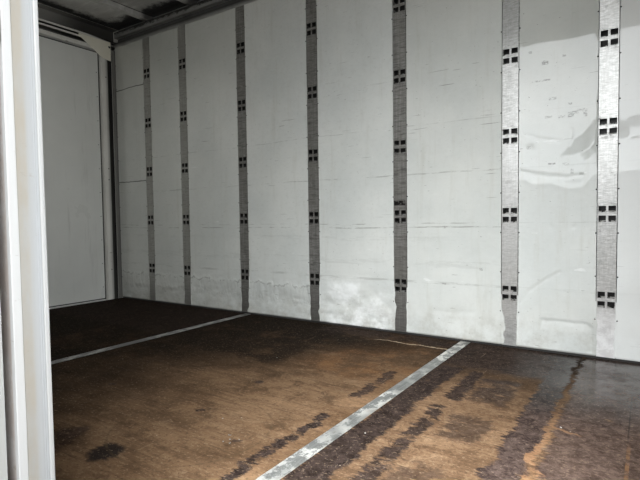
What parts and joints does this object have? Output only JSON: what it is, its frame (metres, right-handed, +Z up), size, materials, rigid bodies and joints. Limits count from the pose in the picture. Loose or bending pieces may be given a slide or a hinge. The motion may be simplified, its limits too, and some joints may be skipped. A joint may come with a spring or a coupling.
{
  "type": "truck cargo box body",
  "caption": "Hollow cargo box of a box truck, with lined walls, slotted lashing posts, a boarded floor, two rear doors and an open side doorway with folded doors.",
  "frame": {"origin": "centre of the sills' bolt patterns, on the underside of the two long sills, which stand on the floor", "axes": "+X towards the front wall and the cab, +Y to the left side, +Z up"},
  "size_m": [6.382, 2.6414, 2.964],
  "materials": {
    "underframe_steel": "matt black paint over rolled steel, with road dust",
    "rail_aluminium": "dull extruded aluminium",
    "floor_plywood": "worn and dirty resin coated plywood",
    "strip_metal": "worn bare metal",
    "lining_paint": "semi-gloss off-white paint, scuffed and dented",
    "post_metal": "dull brushed zinc coated steel",
    "outer_skin": "gloss white paint",
    "roof_metal": "dull grey metal, dirty inside",
    "portal_steel": "grey paint over steel",
    "gusset_paint": "cream paint, dirty",
    "jamb_paint": "white paint, worn and rusty at the seam",
    "fitting_metal": "zinc coated steel",
    "door_paint": "grey white paint",
    "gasket_rubber": "black rubber",
    "amber_lens": "clear amber plastic",
    "red_lens": "clear red plastic"
  },
  "bodies": {
    "box": {"main_sills": "underframe_steel", "cross_beams": "underframe_steel", "bottom_rail_left": "rail_aluminium", "bottom_rail_right": "rail_aluminium", "floor_boards": "floor_plywood", "floor_strips": "strip_metal", "left_lining": "lining_paint", "right_lining": "lining_paint", "front_lining": "lining_paint", "left_posts": "post_metal", "right_posts": "post_metal", "front_posts": "post_metal", "left_skin": "outer_skin", "right_skin": "outer_skin", "front_skin": "outer_skin", "front_corners": "rail_aluminium", "front_rails": "rail_aluminium", "top_rail_left": "rail_aluminium", "top_rail_right": "rail_aluminium", "roof_bows": "roof_metal", "roof_sheet": "roof_metal", "rear_posts": "portal_steel", "rear_header": "portal_steel", "rear_threshold": "portal_steel", "rear_gussets": "gusset_paint", "side_jambs": "jamb_paint", "side_header": "jamb_paint", "side_sill": "jamb_paint", "rear_hinge_brackets": "fitting_metal", "side_hinge_brackets": "fitting_metal", "rear_keepers": "fitting_metal", "side_keepers": "fitting_metal", "amber_lamps": "amber_lens", "red_lamps": "red_lens"},
    "rear_left_door": {"rear_left_leaf": "door_paint", "rear_left_gasket": "gasket_rubber", "rear_left_hinges": "fitting_metal", "rear_left_lock": "fitting_metal"},
    "rear_right_door": {"rear_right_leaf": "door_paint", "rear_right_gasket": "gasket_rubber", "rear_right_hinges": "fitting_metal", "rear_right_lock": "fitting_metal"},
    "side_rear_door": {"side_rear_leaf": "door_paint", "side_rear_gasket": "gasket_rubber", "side_rear_hinges": "fitting_metal", "side_rear_lock": "fitting_metal"},
    "side_front_door": {"side_front_leaf": "door_paint", "side_front_gasket": "gasket_rubber", "side_front_hinges": "fitting_metal", "side_front_lock": "fitting_metal"}
  },
  "joints": [
    {"name": "rear_left_hinge", "type": "hinge", "parent": "box", "child": "rear_left_door", "pos_m": [-3.19, 1.2687, 0.257], "axis": [0, 0, 1], "range_deg": [-270, 0]},
    {"name": "rear_right_hinge", "type": "hinge", "parent": "box", "child": "rear_right_door", "pos_m": [-3.19, -1.2687, 0.257], "axis": [0, 0, 1], "range_deg": [0, 270]},
    {"name": "side_rear_hinge", "type": "hinge", "parent": "box", "child": "side_rear_door", "pos_m": [0.116, -1.288, 0.257], "axis": [0, 0, 1], "range_deg": [0, 180]},
    {"name": "side_front_hinge", "type": "hinge", "parent": "box", "child": "side_front_door", "pos_m": [1.884, -1.288, 0.257], "axis": [0, 0, 1], "range_deg": [-180, 0]}
  ]
}
